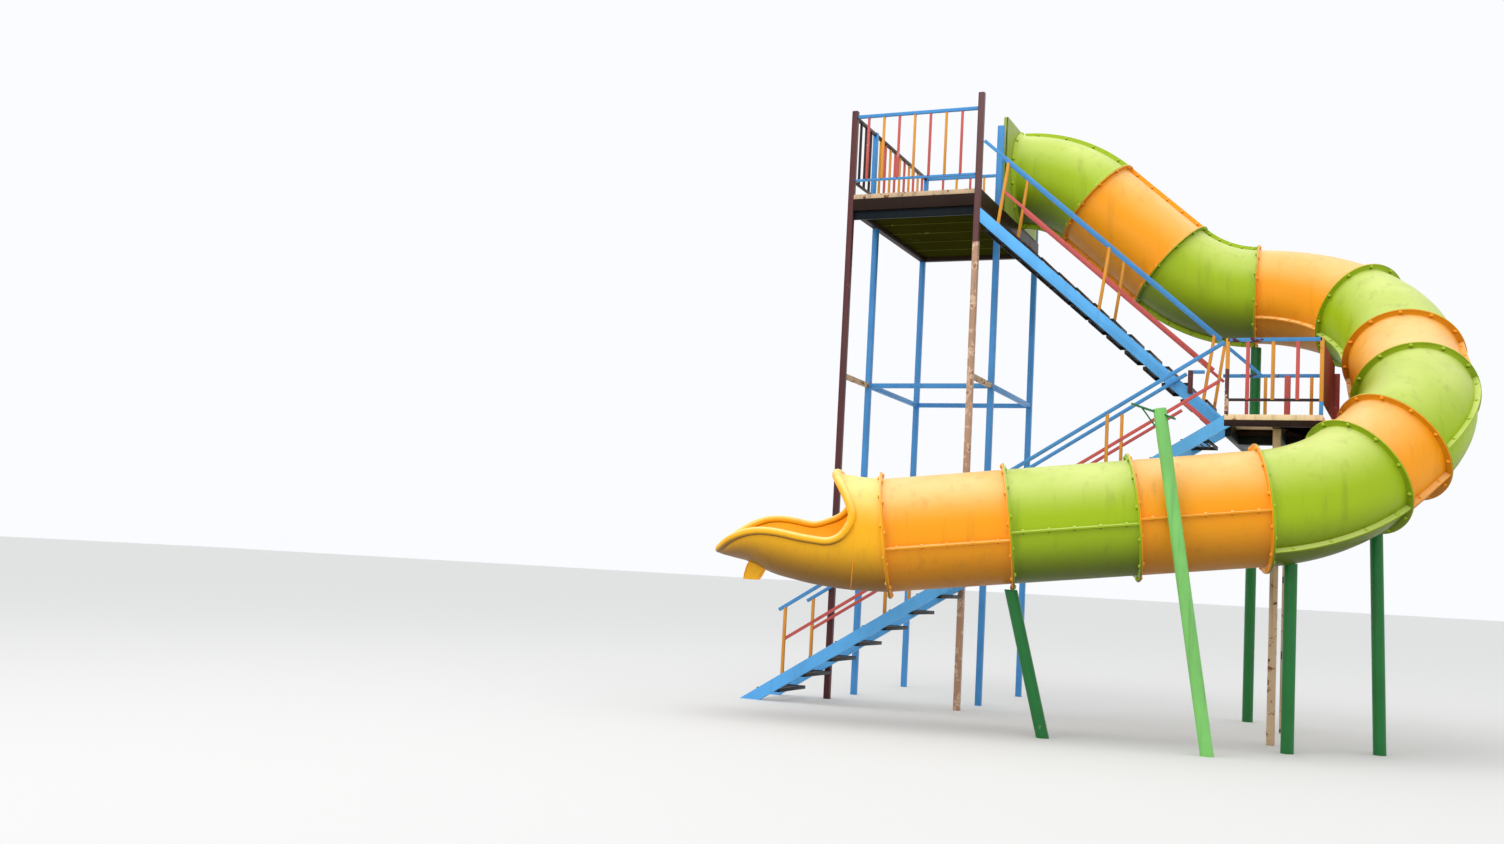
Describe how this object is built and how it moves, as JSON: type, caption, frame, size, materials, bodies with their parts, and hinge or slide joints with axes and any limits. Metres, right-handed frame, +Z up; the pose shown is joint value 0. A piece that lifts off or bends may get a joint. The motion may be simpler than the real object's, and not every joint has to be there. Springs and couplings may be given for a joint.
{
  "type": "water slide tower",
  "caption": "Steel platform with two stair flights and a landing; a closed tube slide drops from it, turns back and ends in an open chute.",
  "frame": {"origin": "middle of the object's footprint, at ground level", "axes": "+X along the platform's front, from the platform to the landing; +Y from the front of the platform to its back; +Z up"},
  "size_m": [5.9286, 4.9242, 5.6672],
  "materials": {
    "blue_paint": "worn satin paint, sky blue",
    "maroon_paint": "worn satin paint, maroon over tan",
    "tan_paint": "chalky primer and surface rust",
    "navy_paint": "dark blue satin paint",
    "red_paint": "sun bleached coral red paint",
    "olive_sheet": "ribbed sheet, olive green",
    "green_paint": "gloss paint, dark green",
    "fresh_green_paint": "gloss paint, light green",
    "panel_green": "gel coat, pale green",
    "tube_green": "gel coat, lime green",
    "tube_yellow": "gel coat, orange yellow",
    "chute_yellow": "gel coat, golden yellow"
  },
  "bodies": {
    "root": {"deck_floor": "tan_paint", "deck_frame": "maroon_paint", "deck_soffit": "olive_sheet", "entrance_post": "blue_paint", "entry_panel": "panel_green", "exit_chute": "chute_yellow", "front_guard": "blue_paint", "front_left_post": "maroon_paint", "front_right_post": "maroon_paint", "front_under_beam": "navy_paint", "landing_beams": "navy_paint", "landing_far_column": "tan_paint", "landing_far_guard": "red_paint", "landing_floor": "tan_paint", "landing_frame": "maroon_paint", "landing_near_column": "tan_paint", "landing_near_guard": "blue_paint", "landing_side_sheet": "maroon_paint", "leaning_stand": "fresh_green_paint", "left_brace": "blue_paint", "left_guard": "blue_paint", "left_tie": "tan_paint", "lower_far_handrail": "blue_paint", "lower_flight": "blue_paint", "lower_near_handrail": "blue_paint", "lower_newel": "maroon_paint", "middle_brace": "blue_paint", "middle_left_post": "blue_paint", "middle_right_post": "blue_paint", "rear_brace": "blue_paint", "rear_guard": "blue_paint", "rear_left_post": "blue_paint", "rear_right_post": "blue_paint", "right_brace": "blue_paint", "right_tie": "tan_paint", "stand_under_11": "green_paint", "stand_under_3": "green_paint", "stand_under_8": "green_paint", "stand_under_9": "green_paint", "tube_1": "tube_green", "tube_10": "tube_yellow", "tube_11": "tube_green", "tube_12": "tube_yellow", "tube_2": "tube_yellow", "tube_3": "tube_green", "tube_4": "tube_yellow", "tube_5": "tube_green", "tube_6": "tube_yellow", "tube_7": "tube_green", "tube_8": "tube_yellow", "tube_9": "tube_green", "upper_far_handrail": "blue_paint", "upper_flight": "blue_paint", "upper_near_handrail": "blue_paint"}
  },
  "joints": []
}
